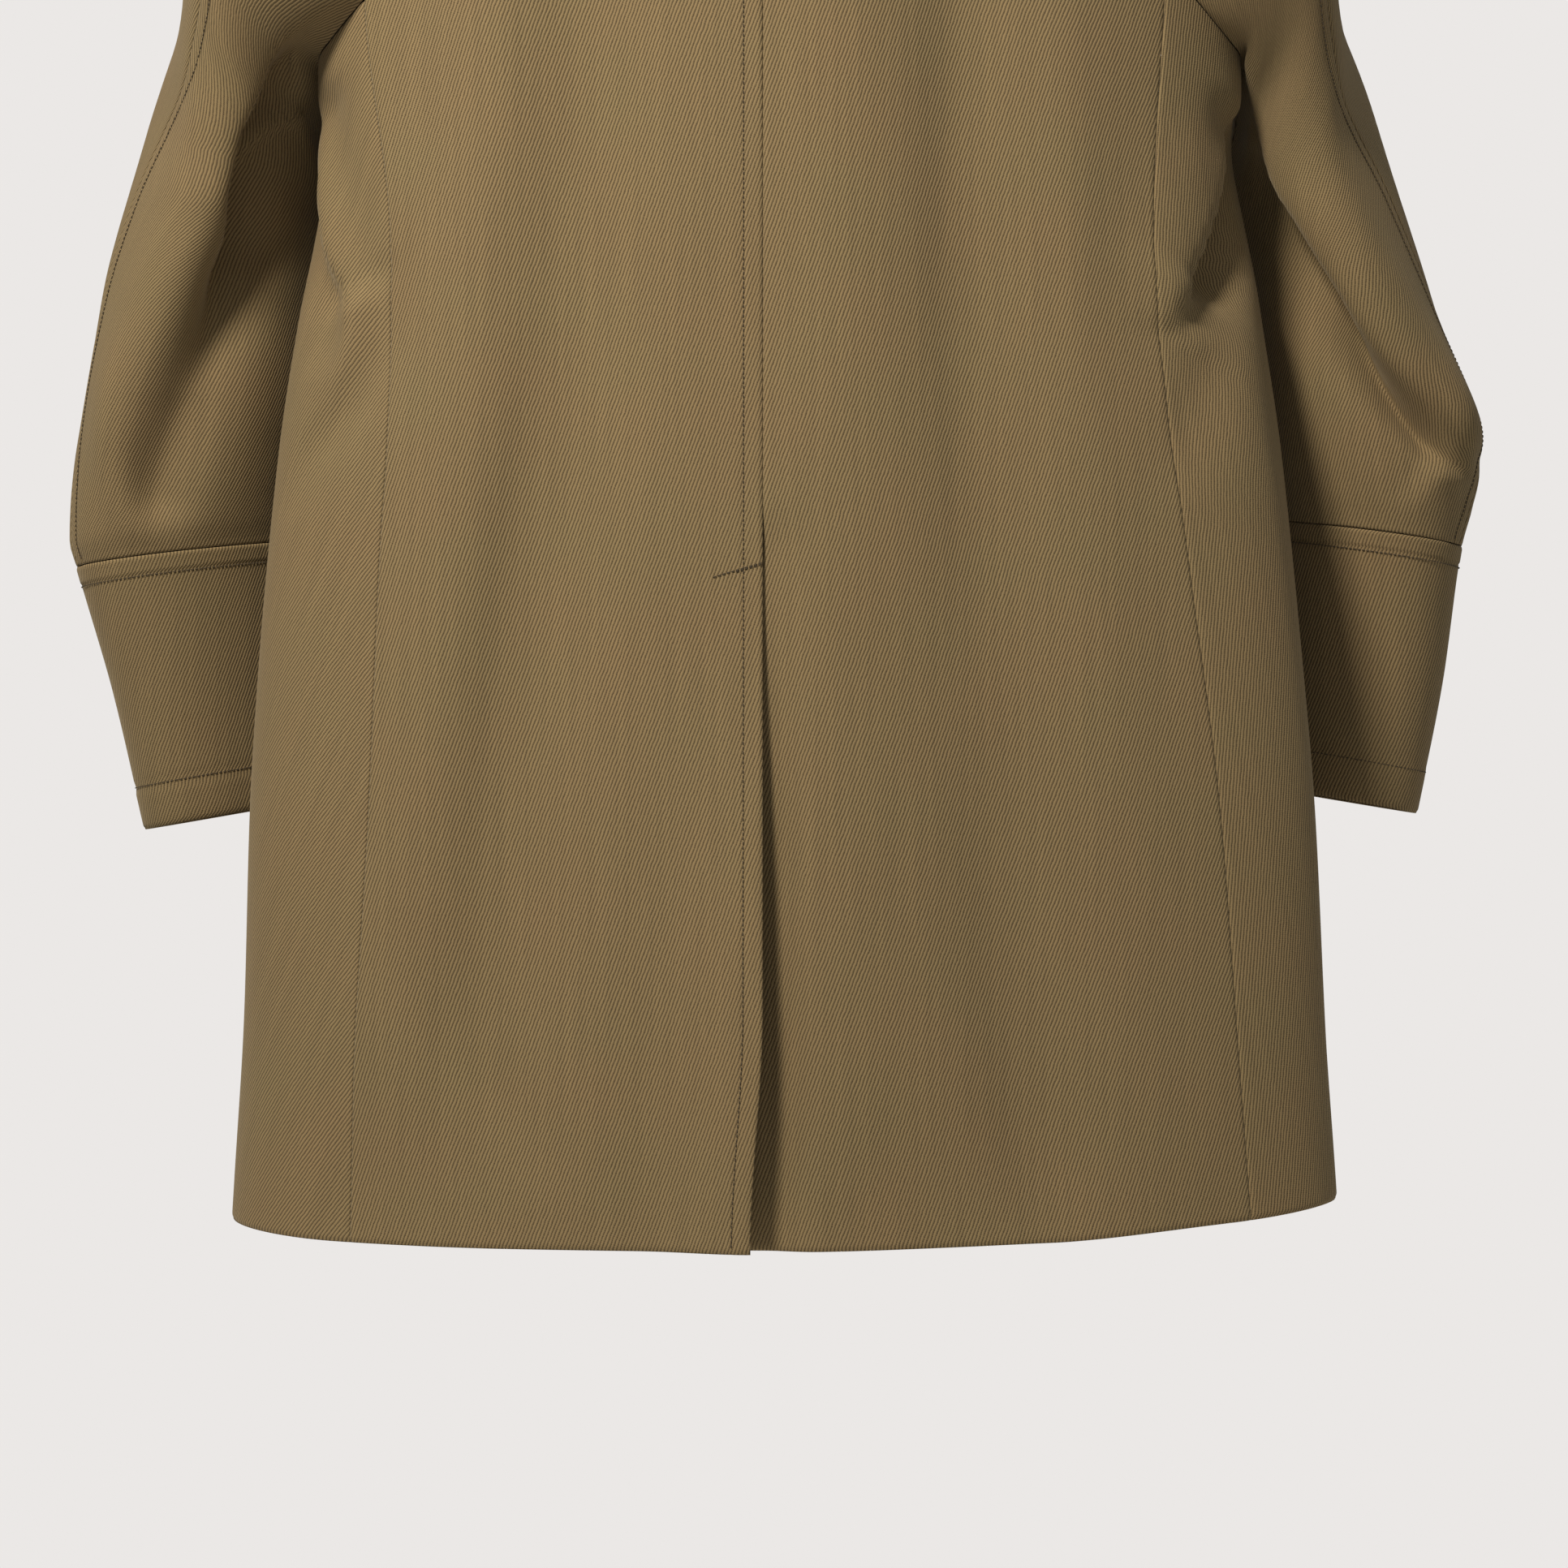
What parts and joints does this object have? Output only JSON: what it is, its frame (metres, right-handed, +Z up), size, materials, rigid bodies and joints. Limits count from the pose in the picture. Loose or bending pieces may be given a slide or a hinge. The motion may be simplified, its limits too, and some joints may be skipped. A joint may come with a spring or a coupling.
{
  "type": "polo coat",
  "caption": "Hip-to-thigh-length wool twill coat, filled out with no wearer: raglan sleeves, deep sewn cuffs, centre back seam and vent, buttoned front.",
  "frame": {"origin": "midway between the shoulders at the base of the neck, where shoulders or a hanger carry the coat", "axes": "+Z up; the coat's back faces -Y; -X is the wearer's left"},
  "size_m": [0.8101, 0.2452, 0.9745],
  "materials": {
    "wool_twill": "dull brushed wool twill, olive khaki",
    "button": "satin dark brown, horn-like"
  },
  "bodies": {
    "root": {"back_left": "wool_twill", "back_right": "wool_twill", "front_left": "wool_twill", "front_right": "wool_twill", "sleeve_left_back": "wool_twill", "sleeve_left_front": "wool_twill", "sleeve_right_back": "wool_twill", "sleeve_right_front": "wool_twill", "cuff_left": "wool_twill", "cuff_right": "wool_twill", "collar": "wool_twill", "lapel_left": "wool_twill", "lapel_right": "wool_twill", "button_1": "button", "button_2": "button", "button_3": "button", "button_4": "button", "button_5": "button", "button_6": "button"}
  },
  "joints": []
}
